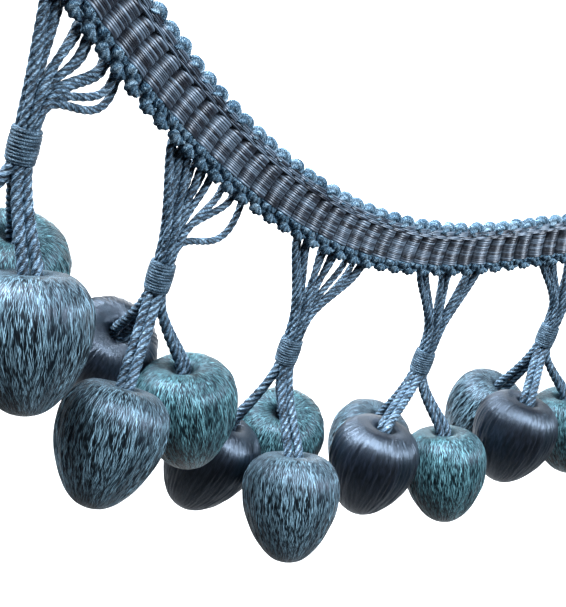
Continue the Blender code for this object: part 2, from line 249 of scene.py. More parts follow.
class Swag:
    """The hanging heading as a line with a frame at every step: its foot, its way up and its face, by rib."""

    def __init__(self):
        ribs, slope, plan, lean = np.array(SWAG, float).T
        count = (LAST_RIB - FIRST_RIB) * STEPS_PER_RIB + 1
        self.rib = np.linspace(FIRST_RIB, LAST_RIB, count)
        slope, plan, lean = (np.radians(read_table(ribs, column, self.rib)) for column in (slope, plan, lean))
        along = np.stack([np.cos(slope) * np.cos(plan), np.cos(slope) * np.sin(plan), np.sin(slope)], axis=1)
        out = np.stack([np.sin(plan), -np.cos(plan), np.zeros_like(plan)], axis=1)
        upright = np.cross(out, along)
        self.up = upright * np.cos(lean)[:, None] - out * np.sin(lean)[:, None]
        self.face = out * np.cos(lean)[:, None] + upright * np.sin(lean)[:, None]
        steps = (along[1:] + along[:-1]) / 2 * RIB_PITCH / STEPS_PER_RIB
        line = np.concatenate([np.zeros((1, 3)), np.cumsum(steps, axis=0)])
        reference = np.argmin(abs(self.rib - REFERENCE_RIB))
        top_edge = line[reference] + self.up[reference] * (TOP_VALLEY - LINE_HEIGHT)
        self.foot = line - self.up * LINE_HEIGHT - top_edge

    def points(self, rib, height, out):
        """Places in mm at these ribs, heights and distances out of the face: foot + up * height + face * out."""
        rib, height, out = np.broadcast_arrays(np.asarray(rib, float), height, out)
        over = rib - np.clip(rib, FIRST_RIB, LAST_RIB)
        foot, up, face = (
            np.stack([np.interp(rib, self.rib, rows[:, axis]) for axis in range(3)], axis=-1)
            for rows in (self.foot, self.up, self.face)
        )
        along = np.cross(up, face)
        return foot + up * height[..., None] + face * out[..., None] + along * (over * RIB_PITCH)[..., None]


SWAG_LINE = Swag()


def stack(*parts):
    """The parts, repeated over each other's rows and columns, as the last axis of one array."""
    return np.stack(np.broadcast_arrays(*parts), axis=-1)


def cell_corners(grids):
    """The four corners of every cell of the grids, in order round it, as a new fourth axis."""
    return np.stack([grids[:, :-1, :-1], grids[:, :-1, 1:], grids[:, 1:, 1:], grids[:, 1:, :-1]], axis=3)


def grid_mesh(name, points, uv, fields=None):
    """A closed smooth mesh from grids of points in mm, shaped (grids, rows, columns, 3).

    Point (r, c) is joined to (r + 1, c), (r + 1, c + 1) and (r, c + 1), the last column is joined to the first, and
    one face closes each of the first and last rows. uv has one column more than the points. fields holds one number a
    point, by name.
    """
    grids, rows, columns = points.shape[:3]
    index = np.arange(grids * rows * columns).reshape(grids, rows, columns)
    index = np.concatenate([index, index[:, :, :1]], axis=2)
    corners = cell_corners(index).reshape(-1, 4)
    caps = [index[:, 0, :-1][:, ::-1], index[:, -1, :-1]]
    cap_uvs = [uv[:, 0, :-1][:, ::-1], uv[:, -1, :-1]]
    loops = np.concatenate([part.ravel() for part in (corners, *caps)])
    uvs = np.concatenate([part.reshape(-1, 2) for part in (cell_corners(uv), *cap_uvs)])
    sizes = np.repeat([4, columns], [len(corners), 2 * grids])
    flat = points.reshape(-1, 3) * MM
    a, b, c, d = (flat[corners[:, k]] for k in range(4))
    middle = flat.mean(axis=0)
    volume = (np.cross(b - a, d - a) * (a - middle)).sum() + (np.cross(c - b, d - b) * (b - middle)).sum()
    mesh = bpy.data.meshes.new(name)
    mesh.vertices.add(len(flat))
    mesh.vertices.foreach_set("co", flat.ravel())
    mesh.loops.add(len(loops))
    mesh.loops.foreach_set("vertex_index", loops)
    mesh.polygons.add(len(sizes))
    mesh.polygons.foreach_set("loop_start", np.concatenate([[0], np.cumsum(sizes)[:-1]]))
    mesh.polygons.foreach_set("loop_total", sizes)
    mesh.polygons.foreach_set("use_smooth", np.ones(len(sizes), bool))
    layer = mesh.uv_layers.new(name="UVMap")
    layer.data.foreach_set("uv", uvs.ravel())
    for field, values in (fields or {}).items():
        attribute = mesh.attributes.new(field, "FLOAT", "POINT")
        attribute.data.foreach_set("value", np.ascontiguousarray(values, np.float32).ravel())
    mesh.update(calc_edges=True)
    if volume < 0:
        mesh.flip_normals()
    mesh.validate()
    return mesh


def add_piece(name, mesh, material, slot, *nodes):
    """A piece of the trim that rides on the trim's one body and stands for these CAD nodes."""
    piece = bpy.data.objects.new(name, mesh)
    bpy.context.scene.collection.objects.link(piece)
    mesh.materials.append(material)
    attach(piece, "root")
    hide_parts(*nodes)
    return piece


# A direction that no path starts in, the plies' size against plies that only touch, and the least half chord of a ply
# in the groove beside it, as a share of the ply.
FRAME_START = np.array([0.31, 0.95, 0.05])
PLY_PRESS = 1.29
GROOVE_SHARE = 0.12


def path_frames(paths):
    """Normal and binormal along paths shaped (paths, points, 3), turned as little as they can be.

    Each normal is the one before it, less its share along the path there.
    """
    tangent = unit(np.gradient(paths, axis=1))
    normal = np.zeros_like(paths)
    normal[:, 0] = unit(np.cross(tangent[:, 0], FRAME_START))
    for step in range(1, paths.shape[1]):
        carried = normal[:, step - 1]
        carried = carried - tangent[:, step] * (carried * tangent[:, step]).sum(-1, keepdims=True)
        normal[:, step] = unit(carried)
    return normal, np.cross(tangent, normal)


def path_lengths(paths):
    """The distance along each path, at each of its points."""
    steps = np.linalg.norm(np.diff(paths, axis=1), axis=-1)
    return np.concatenate([np.zeros((len(paths), 1)), np.cumsum(steps, axis=1)], axis=1)


def twisted_cord(name, paths, radius, plies, lay, around, starts, thickness=1.0):
    """Cords of round plies laid round each other, in one mesh.

    Each section is the outline of the plies' circles: at angle a from a ply's middle it lies at
    d cos a + sqrt(p^2 - d^2 sin^2 a), where p is a ply's radius and d how far its middle is from the cord's. The
    section is carried along the path and turns once in each lay. Plies that touch have
    p = R sin(pi/n) / (1 + sin(pi/n)); here they are pressed together. crown is 1 on a ply and 0 in a groove. uv is in
    plies round the cord and mm along it.
    """
    chord = math.sin(math.pi / plies)
    ply = radius * PLY_PRESS * chord / (1 + chord)
    arm = radius - ply
    angle = np.arange(around + 1) / around * TURN
    lobe = (angle * plies / TURN + 0.5) % 1 - 0.5
    off = lobe * TURN / plies
    half_chord = np.sqrt(np.maximum(ply**2 - (arm * np.sin(off)) ** 2, (GROOVE_SHARE * ply) ** 2))
    outline = (arm * np.cos(off) + half_chord)[:-1]
    normal, binormal = path_frames(paths)
    length = path_lengths(paths)
    turn = length / lay * TURN + starts[:, None]
    whole = angle[:-1] + turn[:, :, None]
    reach = outline * np.broadcast_to(thickness, length.shape)[:, :, None]
    points = (
        paths[:, :, None]
        + normal[:, :, None] * (np.cos(whole) * reach)[..., None]
        + binormal[:, :, None] * (np.sin(whole) * reach)[..., None]
    )
    crown = np.broadcast_to((outline - outline.min()) / (outline.max() - outline.min()), points.shape[:3])
    uv = stack(angle / TURN * plies + np.arange(len(paths))[:, None, None] * plies, length[:, :, None])
    return grid_mesh(name, points, uv, {"crown": crown})


def smooth_paths(paths, count):
    """Each path's points, in mm, set evenly along it: (points, 3) to (count, 3)."""
    evened = []
    for path in paths:
        length = path_lengths(path[None])[0]
        steps = np.linspace(0, length[-1], count)
        evened.append(np.stack([np.interp(steps, length, path[:, axis]) for axis in range(3)], axis=-1))
    return np.stack(evened)


def bezier(start, start_pull, end_pull, end):
    """Points along a cubic curve from start to end."""
    t = np.linspace(0.0, 1.0, ROUTE_POINTS)[:, None]
    return (1 - t) ** 3 * start + 3 * t * (1 - t) ** 2 * start_pull + 3 * t**2 * (1 - t) * end_pull + t**3 * end


# ---------------- materials


def feed(tree, node, inputs):
    """Sets the node's inputs, each from a value or from the (node, output) that feeds it."""
    for key, value in inputs.items():
        if isinstance(value, tuple) and isinstance(value[0], bpy.types.Node):
            tree.links.new(value[0].outputs[value[1]], node.inputs[key])
        else:
            node.inputs[key].default_value = value


def add_node(tree, kind, inputs=None, **settings):
    """Adds a node with its settings and its inputs, as feed takes them."""
    node = tree.nodes.new(kind)
    for key, value in settings.items():
        setattr(node, key, value)
    feed(tree, node, inputs or {})
    return node


def ramp(tree, value, places, colours):
    """A colour ramp with these colours at these places."""
    node = add_node(tree, "ShaderNodeValToRGB", {"Fac": value})
    elements = node.color_ramp.elements
    while len(elements) < len(places):
        elements.new(0.5)
    for element, place, colour in zip(elements, places, colours):
        element.position = place
        element.color = (*colour, 1.0)
    return node


def blend(tree, share, first, second, kind="MIX"):
    """The first colour with this share of the second."""
    return add_node(tree, "ShaderNodeMix", {0: share, 6: first, 7: second}, data_type="RGBA", blend_type=kind)


def maths(tree, operation, *values):
    """A maths node on these values."""
    return add_node(tree, "ShaderNodeMath", dict(enumerate(values)), operation=operation)


def new_material(name):
    """An empty material with its output and Principled shader."""
    material = bpy.data.materials.new(name)
    material.use_nodes = True
    tree = material.node_tree
    tree.nodes.clear()
    output = add_node(tree, "ShaderNodeOutputMaterial")
    shader = add_node(tree, "ShaderNodeBsdfPrincipled")
    tree.links.new(shader.outputs["BSDF"], output.inputs["Surface"])
    return material, tree, shader


def drawn_noise(tree, vector, scale, **inputs):
    """Noise drawn out by a scale on each axis."""
    stretch = add_node(tree, "ShaderNodeMapping", {"Vector": vector, "Scale": scale}, vector_type="POINT")
    return add_node(tree, "ShaderNodeTexNoise", {"Vector": (stretch, "Vector"), "Scale": 1.0, **inputs})


def finish_shader(tree, shader, colour, height, strength, relief, own):
    """Feeds the shader with the colour, with a bump of the height, relief m deep, and with constants of its own.

    An anisotropic one gets the map's tangent, so that its gleam crosses the threads.
    """
    bump = add_node(tree, "ShaderNodeBump", {"Height": height, "Strength": strength, "Distance": relief})
    feed(tree, shader, {"Base Color": colour, "Normal": (bump, "Normal"), **own})
    if "Anisotropic" in own:
        tangent = add_node(tree, "ShaderNodeTangent", direction_type="UV_MAP", uv_map="UVMap")
        feed(tree, shader, {"Tangent": (tangent, "Tangent")})


def rayon_warp():
    """Bright rayon warp, laid close over a thick weft: smooth filaments that gleam in a line across the threads."""
    settings = bpy.context.scene.trim_heading
    material, tree, shader = new_material("rayon_warp")
    place = add_node(tree, "ShaderNodeUVMap", uv_map="UVMap")
    tone = add_node(tree, "ShaderNodeAttribute", attribute_name="tone")
    hollow = add_node(tree, "ShaderNodeAttribute", attribute_name="hollow")
    # uv is in mm, so filaments 0.12 mm apart run 2 mm along the thread.
    filament = drawn_noise(tree, (place, "UV"), (8.0, 0.5, 1.0), Detail=2.0, Roughness=0.6)
    shade = maths(tree, "MULTIPLY_ADD", (filament, "Fac"), 0.5, (tone, "Fac"))
    colours = (settings.warp_dark, settings.warp_middle, settings.warp_light)
    colour = ramp(tree, (shade, "Value"), (0.38, 0.66, 0.95), colours)
    # Painted shade: the gaps between ribs and the joints between threads are darkened to nearly black.
    deep = blend(tree, (hollow, "Fac"), (colour, "Color"), (0.002, 0.002, 0.003, 1.0))
    own = {
        "Roughness": 0.45,
        "Anisotropic": 0.8,
        "Specular IOR Level": 1.0,
        "Specular Tint": (*linear("#dcebff"), 1.0),
        "IOR": 1.52,
    }
    finish_shader(tree, shader, (deep, 2), (filament, "Fac"), 0.5, 0.00003, own)
    return material


# The yarns. fibre_scale is half the cells of noise to a ply and to a mm. The groove share is how much of the colour
# # the painted shade leaves in the grooves between the plies.
YARNS = {
    # name: tips, groove_shade, fibre_scale, slant, roughness, gloss
    "cotton_gimp": ("#b6d2e6", 0.45, (6.5, 3.2), 1.4, 0.7, 0.12),
    "mercerised_cord": ("#9dbbd4", 0.2, (3.2, 1.1), -0.35, 0.5, 0.2),
    "binding_thread_wound": ("#88a8c2", 0.35, (1.4, 3.0), 0.25, 0.5, 0.2),
}


def spun_yarn(name, dark, light):
    """Spun yarn: fine fibres slanted to the ply, with pale broken fibre tips and painted shade in the grooves between
    the plies.

    uv is in plies round the cord and mm along it. The fibres are noise drawn out along the ply and turned by the
    slant; patches 3 mm long are a little lighter or darker.
    """
    tips, groove_shade, fibre_scale, slant, roughness, gloss = YARNS[name]
    material, tree, shader = new_material(name)
    place = add_node(tree, "ShaderNodeUVMap", uv_map="UVMap")
    crown = add_node(tree, "ShaderNodeAttribute", attribute_name="crown")
    parts = add_node(tree, "ShaderNodeSeparateXYZ", {"Vector": (place, "UV")})
    across = maths(tree, "MULTIPLY_ADD", (parts, "Y"), slant, (parts, "X"))
    lay = add_node(tree, "ShaderNodeCombineXYZ", {"X": (across, "Value"), "Y": (parts, "Y")})
    fibre = drawn_noise(tree, (lay, "Vector"), (*fibre_scale, 1.0), Scale=2.0, Detail=3.0, Roughness=0.7)
    patch = add_node(tree, "ShaderNodeTexNoise", {"Vector": (place, "UV"), "Scale": 0.35, "Detail": 2.0})
    mixed = maths(tree, "MULTIPLY_ADD", (patch, "Fac"), 0.3, (fibre, "Fac"))
    colour = ramp(tree, (mixed, "Value"), (0.57, 0.68, 0.78), (dark, light, linear(tips)))
    # Painted shade: the colour darkens from the crown of each ply into the groove beside it.
    groove = add_node(tree, "ShaderNodeMapRange", {"Value": (crown, "Fac"), "To Min": groove_shade, "To Max": 1.0})
    shaded = blend(tree, 1.0, (colour, "Color"), (groove, "Result"), "MULTIPLY")
    own = {
        "Roughness": roughness,
        "Specular IOR Level": gloss,
        "IOR": 1.53,
        "Sheen Weight": 0.04,
        "Sheen Roughness": 0.4,
        "Sheen Tint": (*linear("#9fc0dc"), 1.0),
    }
    finish_shader(tree, shader, (shaded, 2), (fibre, "Fac"), 1.0, 0.00016, own)
    return material


# The silk's layers of noise. A ball of 11 mm radius has fineness / 11 cells of noise to the mm round it, length cells
# from pole to pole, and a thread is two cells wide: two layers of threads 0.2 mm wide that cross, strands of 0.6 mm
# and hanks of 7 mm.
SILK_LAYERS = (
    # slant, fineness, length
    (0.09, 104.0, 24.0),
    (-0.12, 94.0, 27.0),
    (0.03, 40.0, 9.0),
    (0.02, 3.2, 1.3),
)
SILKS = {
    # colour: dark, light, stripe, gloss, sheen, stripe_amount
    "slate": ("#020406", "#7c9fb4", "#08121b", 0.5, 0.16, 0.4),
    "teal": ("#03080b", "#6fa3b2", "#081820", 0.4, 0.16, 0.4),
    "charcoal": ("#010102", "#232a38", "#08161f", 1.0, 0.01, 0.5),
}


def silk_cover(colour, middle):
    """Floss silk wound from pole to pole over a turned mould: fine threads that gleam in a band across them.

    The threads follow the meridians with a slight slant, so the pattern is noise on the circle (cos a, sin a), where
    a is the angle round the ball plus a little for each step down it, and it is drawn out from pole to pole. The
    higher of the two fine layers shows, and some hanks take the stripe's colour.
    """
    dark, light, stripe, gloss, sheen, stripe_amount = SILKS[colour]
    material, tree, shader = new_material(f"{colour}_silk")
    place = add_node(tree, "ShaderNodeUVMap", uv_map="UVMap")
    parts = add_node(tree, "ShaderNodeSeparateXYZ", {"Vector": (place, "UV")})
    layers = []
    for slant, fineness, length in SILK_LAYERS:
        angle = maths(tree, "MULTIPLY_ADD", (parts, "Y"), slant, (parts, "X"))
        turns = maths(tree, "MULTIPLY", (angle, "Value"), TURN)
        cosine, sine = (maths(tree, wave, (turns, "Value")) for wave in ("COSINE", "SINE"))
        ring = {"X": (cosine, "Value"), "Y": (sine, "Value"), "Z": (parts, "Y")}
        ring = add_node(tree, "ShaderNodeCombineXYZ", ring)
        layers.append(drawn_noise(tree, (ring, "Vector"), (fineness, fineness, length), Detail=0.0))
    first, second, strand, hank = layers
    crossed = maths(tree, "MAXIMUM", (first, "Fac"), (second, "Fac"))
    threads = add_node(tree, "ShaderNodeMix", {0: 0.08, 2: (crossed, "Value"), 3: (strand, "Fac")})
    dyes = ramp(tree, (threads, 0), (0.52, 0.615, 0.69), (linear(dark), middle, linear(light)))
    amount = add_node(
        tree,
        "ShaderNodeMapRange",
        {"Value": (hank, "Fac"), "From Min": 0.44, "From Max": 0.66, "To Min": 0.0, "To Max": stripe_amount},
    )
    dyed = blend(tree, (amount, "Result"), (dyes, "Color"), (*linear(stripe), 1.0))
    # Painted shade: the colour darkens to 0.15 of itself towards the hole at the top, where the threads meet.
    mouth = add_node(
        tree, "ShaderNodeMapRange", {"Value": (parts, "Y"), "From Min": 0.03, "From Max": 0.12, "To Min": 0.15}
    )
    shaded = blend(tree, 1.0, (dyed, 2), (mouth, "Result"), "MULTIPLY")
    own = {
        "Roughness": 0.40,
        "Anisotropic": 0.5,
        "Specular IOR Level": gloss,
        "Specular Tint": (*linear("#c4dfff"), 1.0),
        "IOR": 1.54,
        "Sheen Weight": sheen,
        "Sheen Roughness": 0.3,
        "Sheen Tint": (*linear("#a8c4dd"), 1.0),
    }
    finish_shader(tree, shader, (shaded, 2), (threads, 0), 1.0, 0.00010, own)
    return material


# ---------------- settings


def dye(name, description, code):
    """A colour setting, from its sRGB hex value."""
    return FloatVectorProperty(name=name, description=description, subtype="COLOR", default=linear(code))


class TrimHeadingSettings(bpy.types.PropertyGroup):
    """Sizes and colours of the woven heading."""

    rib_relief: FloatProperty(
        name="Rib relief", description="How far a rib stands out of the gaps beside it, in mm", default=1.25
    )
    thread_relief: FloatProperty(
        name="Thread relief", description="How far a warp thread stands out of its joints, in mm", default=0.24
    )
    threads: IntProperty(name="Threads", description="Warp threads over each rib of the panel", default=15)
    loop_yarn: FloatProperty(name="Loop yarn", description="Radius of the gimp in the loops, in mm", default=1.35)
    warp_dark: dye("Warp, dark", "Shaded threads", "#0a0a10")
    warp_middle: dye("Warp, middle", "Most of the threads", "#1c202c")
    warp_light: dye("Warp, light", "The brightest threads", "#64768a")
    gimp_dark: dye("Gimp, dark", "Deep fibres of the loops", "#14273a")
    gimp_light: dye("Gimp, light", "Raised fibres of the loops", "#4e7796")


class TrimCordSettings(bpy.types.PropertyGroup):
    """Sizes and colours of the cords and bindings."""

    radius: FloatProperty(name="Cord radius", description="Outer radius of a cord, in mm", default=0.8)
    lay: FloatProperty(name="Lay", description="Length of one turn of the plies, in mm", default=7.0)
    cord_dark: dye("Cord, dark", "Deep fibres", "#060d15")
    cord_light: dye("Cord, light", "Raised fibres", "#4a6c8a")
    turns: IntProperty(name="Turns", description="Turns of thread in a binding", default=10)
    thread_dark: dye("Binding, dark", "Deep fibres", "#0f1f2c")
    thread_light: dye("Binding, light", "Raised fibres", "#243f54")


class TrimBallSettings(bpy.types.PropertyGroup):
    """Sizes and colours of the balls."""

    radius: FloatProperty(name="Ball radius", description="Widest radius, in mm", default=11.0)
    height: FloatProperty(name="Ball height", description="From crown to foot, in mm", default=24.6)
    slate: dye("Slate", "Slate silk", "#15242d")
    teal: dye("Teal", "Teal silk", "#19363f")
    charcoal: dye("Charcoal", "Charcoal silk", "#05060a")


class TrimStageSettings(bpy.types.PropertyGroup):
    """The floor and the light."""

    floor_drop: FloatProperty(
        name="Floor drop", description="How far below the lowest ball the floor lies", default=0.9, unit="LENGTH"
    )
    key: FloatProperty(name="Key light", description="Power of the light from above", default=2.5, unit="POWER")
    front: FloatProperty(
        name="Front light", description="Power of the light from the front right", default=1.55, unit="POWER"
    )
    side: FloatProperty(
        name="Side light", description="Power of the light from behind on the left", default=2.7, unit="POWER"
    )
    backdrop: FloatProperty(
        name="Backdrop light", description="Power of the light on the backdrop", default=220.0, unit="POWER"
    )
    surround: FloatProperty(name="Surround", description="Brightness of the studio's walls", default=0.10)


# ---------------- heading


# The band, in mm up the cloth: plain lips, the panel, two narrow rows of threads above it, and the back.
LOWER_LIP = (-2.0, -1.3, -0.6, 0.0)
PANEL = (0.15, 7.15)
NARROW_ROWS = (
    # low, high, threads, rib_shift, seed
    (7.25, 7.95, 2, 0.5, 6),
    (8.02, 9.20, 3, 0.0, 7),
)
PANEL_TOP = 7.2
UPPER_LIP = (9.3, 9.6)
BACK = (-1.9, 9.5)
BACK_THREADS = 13

# Where rows lie across a thread, from joint to joint as -1 to 1, and sections along a rib, as shares of it.
ACROSS_FACE = (-1.0, -0.62, -0.2, 0.2, 0.62)
ACROSS_BACK = (-1.0, 0.0)
ALONG_RIB = (0.0, 0.015, 0.05, 0.11, 0.19, 0.30, 0.44, 0.60, 0.74, 0.85, 0.93, 0.98)
THREAD_UNEVEN = 0.28
PANEL_SEED, BACK_SEED, BAND_SEED = 5, 8, 21

# How far the band's surface lies out, in mm, and the shares by which its parts are lower.
GAP_OUT = 0.12
LIP_OUT = 0.25
THREAD_LIFT = 0.04
LIFT_LIMIT = 1.5
BACK_RELIEF = 0.6
ROW_FLOOR = 0.45
RIB_SKEW = 1.15

# How light the threads are, as a middle and spreads about it, and how dark and how wide the painted shade is in the
# gaps and the
# # threads' joints, and how much of it the narrow rows take.
TONE = 0.5
THREAD_TONE = 0.19
RIB_TONE = 0.05
ROW_TONE = 0.12
GAP_SHADE = 0.9
GAP_SHADE_WIDTH = 2.5
JOINT_SHADE = 0.95
JOINT_SHADE_WIDTH = 0.6
ROW_SHADE = 0.5

# How the gaps between ribs bow and wander along the run, in ribs.
BOW_START = 0.06
BOW_DEPTH = 0.08
BOW_HEIGHT = 7.3
RIB_WANDER = 0.025


def thread_edges(count, low, high, seed):
    """The joints between the warp threads: uneven widths from a seeded generator, summed and scaled to fit."""
    widths = 1 + THREAD_UNEVEN * np.random.default_rng(seed).uniform(-1, 1, count)
    return low + np.concatenate([[0.0], np.cumsum(widths)]) / widths.sum() * (high - low)


def band_rows():
    """The band's rows up its face and down its back: height, thread, place across the thread, rib shift, face or back.

    The panel's threads run over whole ribs. Above them lie two narrow rows, one of two threads over ribs that are
    shifted by half a rib and one of three threads over ribs that are not.
    """
    panel = (*PANEL, bpy.context.scene.trim_heading.threads, 0.0, PANEL_SEED)
    rows = [(height, -1, 1.0, 0.0, 1) for height in LOWER_LIP]
    thread = 0
    for low, high, count, shift, seed in (panel, *NARROW_ROWS):
        edges = thread_edges(count, low, high, seed)
        for start, end in zip(edges[:-1], edges[1:]):
            rows += [((start + end) / 2 + (end - start) / 2 * x, thread, x, shift, 1) for x in ACROSS_FACE]
            thread += 1
        rows.append((edges[-1], thread - 1, 1.0, shift, 1))
    rows += [(height, -1, 1.0, 0.0, 1) for height in UPPER_LIP]
    edges = thread_edges(BACK_THREADS, *BACK, BACK_SEED)
    for start, end in zip(edges[:-1][::-1], edges[1:][::-1]):
        rows += [((start + end) / 2 - (end - start) / 2 * x, thread, x, 0.0, -1) for x in ACROSS_BACK]
        thread += 1
    rows.append((edges[0], thread - 1, 1.0, 0.0, -1))
    return np.array(rows, float), thread


def build_band():
    """The ribbed band.

    Over each rib the face rises and falls by the half circle sqrt(1 - (2 x^1.15 - 1)^2), where x runs from 0 to 1
    along the rib, and over each thread it stands out by a half ellipse. The gaps between ribs bow towards the start
    of the run by a sine of the height. Each thread lies a little higher or lower on each rib. tone is how light a
    thread is there. A second field is painted shade: 1 in the gaps between ribs and in the joints between threads,
    where the colour is darkened to nearly black.
    """
    settings = bpy.context.scene.trim_heading
    rows, threads = band_rows()
    height, thread, across, shift, side = rows.T
    ribs = LAST_RIB - FIRST_RIB
    along = np.concatenate([(np.arange(ribs)[:, None] + ALONG_RIB).ravel(), [ribs]]) + FIRST_RIB
    run, up = np.meshgrid(along, height, indexing="ij")
    phase = (run + shift) % 1
    phase[-1] = shift % 1
    rib = np.clip(np.floor(run + shift) - FIRST_RIB, 0, ribs - 1).astype(int)
    on_face, above_panel = side > 0, height > PANEL_TOP
    dome = np.sqrt(np.clip(1 - (2 * phase**RIB_SKEW - 1) ** 2, 0, 1))
    dome = np.where(on_face & above_panel, ROW_FLOOR + (1 - ROW_FLOOR) * dome, dome)
    on_thread = thread >= 0
    bulge = np.sqrt(np.clip(1 - across**2, 0, 1))
    random = np.random.default_rng(BAND_SEED)
    place = rib, np.maximum(thread.astype(int), 0)
    lift = random.normal(0, 1, (ribs, threads))[place]
    tone = random.normal(0, 1, (ribs, threads))[place]
    rib_tone = random.normal(0, 1, ribs)[rib]
    out = GAP_OUT + settings.rib_relief * np.where(on_face, 1.0, BACK_RELIEF) * dome
    lift = THREAD_LIFT * np.clip(lift, -LIFT_LIMIT, LIFT_LIMIT)
    out = out + on_thread * dome * bulge * (settings.thread_relief + lift)
    out = np.where(on_thread, out, LIP_OUT)
    bow = -BOW_START - BOW_DEPTH * np.sin(np.pi * np.clip(up / BOW_HEIGHT, 0, 1))
    wander = random.normal(0, RIB_WANDER, ribs + 1)[np.clip(np.round(run - FIRST_RIB).astype(int), 0, ribs)]
    placed = np.clip(run + np.where(on_face, bow + wander, 0.0), FIRST_RIB, LAST_RIB)
    placed[0] = FIRST_RIB
    placed[-1] = LAST_RIB
    points = SWAG_LINE.points(placed, up, out * side)
    # Painted shade, to nearly black: in the gaps between ribs and in the joints between threads, half as much on the
    # narrow rows.
    hollow = np.clip(1 - dome * GAP_SHADE_WIDTH, 0, 1) * GAP_SHADE + JOINT_SHADE * on_thread * (1 - bulge) ** JOINT_SHADE_WIDTH
    fields = {
        "tone": TONE + THREAD_TONE * tone * on_thread + RIB_TONE * rib_tone + ROW_TONE * above_panel,
        "hollow": np.clip(hollow, 0, 1) * np.where(above_panel, ROW_SHADE, 1.0),
    }
    uv = stack(np.concatenate([height, height[:1]]), run[:, :1] * RIB_PITCH)
    mesh = grid_mesh("heading_band", points[None], uv[None], fields)
    return add_piece("heading_band", mesh, rayon_warp(), "heading_cloth", "heading")


# The looped edges, in mm; the shift is in ribs.
EDGES = (
    # name, radius_share, centre, half_width, rise, leg, outs, shift, hanging, seed
    ("heading_top_loops", 1.0, 9.25, 1.3, 0.8, 0.9, (0.05, -0.30), 0.0, False, 3),
    ("heading_lumps", 1.0, -0.2, 1.3, 0.3, 0.3, (0.15, -0.25), 0.0, True, 4),
    ("heading_lower_loops", 0.9, -1.8, 1.35, 0.65, 0.6, (-0.05, -0.30), 0.5, True, 5),
)
LOOP_PLIES = 3
LOOP_LAY = 4.0
LOOP_AROUND = 15
ARCH_POINTS = 15
LOOP_POINTS = 20
SIZE_SPREAD = 0.07
ASIDE_SPREAD = 0.03
OUT_SPREAD = 0.08


def loop_paths(centre, half_width, rise, leg, outs, shift, hanging, seed):
    """One fat arch of gimp over each rib: half an ellipse about its centre, with straight legs into the band.

    The arch swings out by the cosine of its angle, so that one leg lies in front of the next loop's other leg.
    """
    ribs = np.arange(FIRST_RIB, LAST_RIB - (1 if shift else 0))
    angle = np.linspace(np.pi, 0, ARCH_POINTS)
    way = -1.0 if hanging else 1.0
    across = np.concatenate([[-1, -1], np.cos(angle), [1, 1]])
    high = np.concatenate([[-leg, -leg / 2], np.sin(angle) * rise, [-leg / 2, -leg]])
    random = np.random.default_rng(seed)
    size = 1 + random.normal(0, SIZE_SPREAD, (len(ribs), 1))
    aside = random.normal(0, ASIDE_SPREAD, (len(ribs), 1))
    rib = ribs[:, None] + 0.5 + shift + aside + across * half_width / RIB_PITCH
    out = outs[0] + outs[1] * across + random.normal(0, OUT_SPREAD, (len(ribs), 1))
    return SWAG_LINE.points(rib, centre + way * high * size, out)


def build_loops():
    """The looped edges: soft gimp in fat arches above the band, and lumps and smaller loops below the panel."""
    settings = bpy.context.scene.trim_heading
    yarn = spun_yarn("cotton_gimp", settings.gimp_dark, settings.gimp_light)
    for name, share, *shape, seed in EDGES:
        paths = smooth_paths(loop_paths(*shape, seed), LOOP_POINTS)
        starts = np.random.default_rng(seed).uniform(0, TURN, len(paths))
        radius = settings.loop_yarn * share
        mesh = twisted_cord(name, paths, radius, LOOP_PLIES, LOOP_LAY, LOOP_AROUND, starts)
        add_piece(name, mesh, yarn, "heading_cloth", "heading")


# ---------------- cords, bindings and balls


CORD_PLIES = 4
CORD_AROUND = 20
CORD_POINTS = 80


def binding_middle(name):
    """The middle of the cluster's binding, straight below the heading's lower edge at its rib."""
    rib, drop = CLUSTERS[name]
    return SWAG_LINE.points(rib, LOWER_VALLEY - LOWER_REACH, 0.0) - UP * drop


def core_places():
    """Where the twelve cords enter the binding, in two rings, in order along the trim."""
    outer = [(OUTER_RING, (k + 0.5) / OUTER_CORDS + RING_TURN) for k in range(OUTER_CORDS)]
    inner = [(INNER_RING, k / INNER_CORDS + RING_TURN) for k in range(INNER_CORDS)]
    places = [np.array([math.cos(TURN * turn), math.sin(TURN * turn), 0.0]) * ring for ring, turn in outer + inner]
    return sorted(places, key=lambda place: (round(place[0], 3), place[1]))


def fan_roots(name):
    """The cluster's cords as (rib, out, slack) in order along the trim, every second one laid behind the others."""
    steps = [(first + step * apart, slack) for cords, first, apart, slack in FAN[name] for step in range(cords)]
    return [(rib, ROOT_OUT - ROOT_LAYER * (index % 2), slack) for index, (rib, slack) in enumerate(steps)]


def upper_routes(name):
    """The fan: twelve cubic curves from the heading's lower edge down into the binding."""
    top = binding_middle(name) + UP * (BINDING_LENGTH / 2 + CORE_PROUD)
    routes = []
    for (rib, out, slack), place in zip(fan_roots(name), core_places()):
        root = SWAG_LINE.points(rib, ROOT_HEIGHT, out)
        tucked = SWAG_LINE.points(rib, ROOT_HEIGHT + ROOT_TUCK[0], out + ROOT_TUCK[1])
        end = top + place
        start_pull = root - UP * (slack + (root - end)[2] * ROOT_PULL)
        curve = bezier(root, start_pull, end + UP * GATHER_RISE, end)
        foot = end - place * CORE_CLOSING - UP * (CORE_PROUD + CORE_DEPTH)
        routes.append(np.concatenate([tucked[None], curve, foot[None]]))
    return routes


def ball_pose(cluster, along, back, down, slant_share):
    """A ball's middle, and its axis pointing up, turned from the upright by a share of its cords' slant."""
    centre = binding_middle(cluster) + np.array([along, back, -down - BINDING_LENGTH / 2])
    slanted = Vector((-along, -back, down)).normalized()
    return centre, Vector(UP).lerp(slanted, slant_share).normalized()


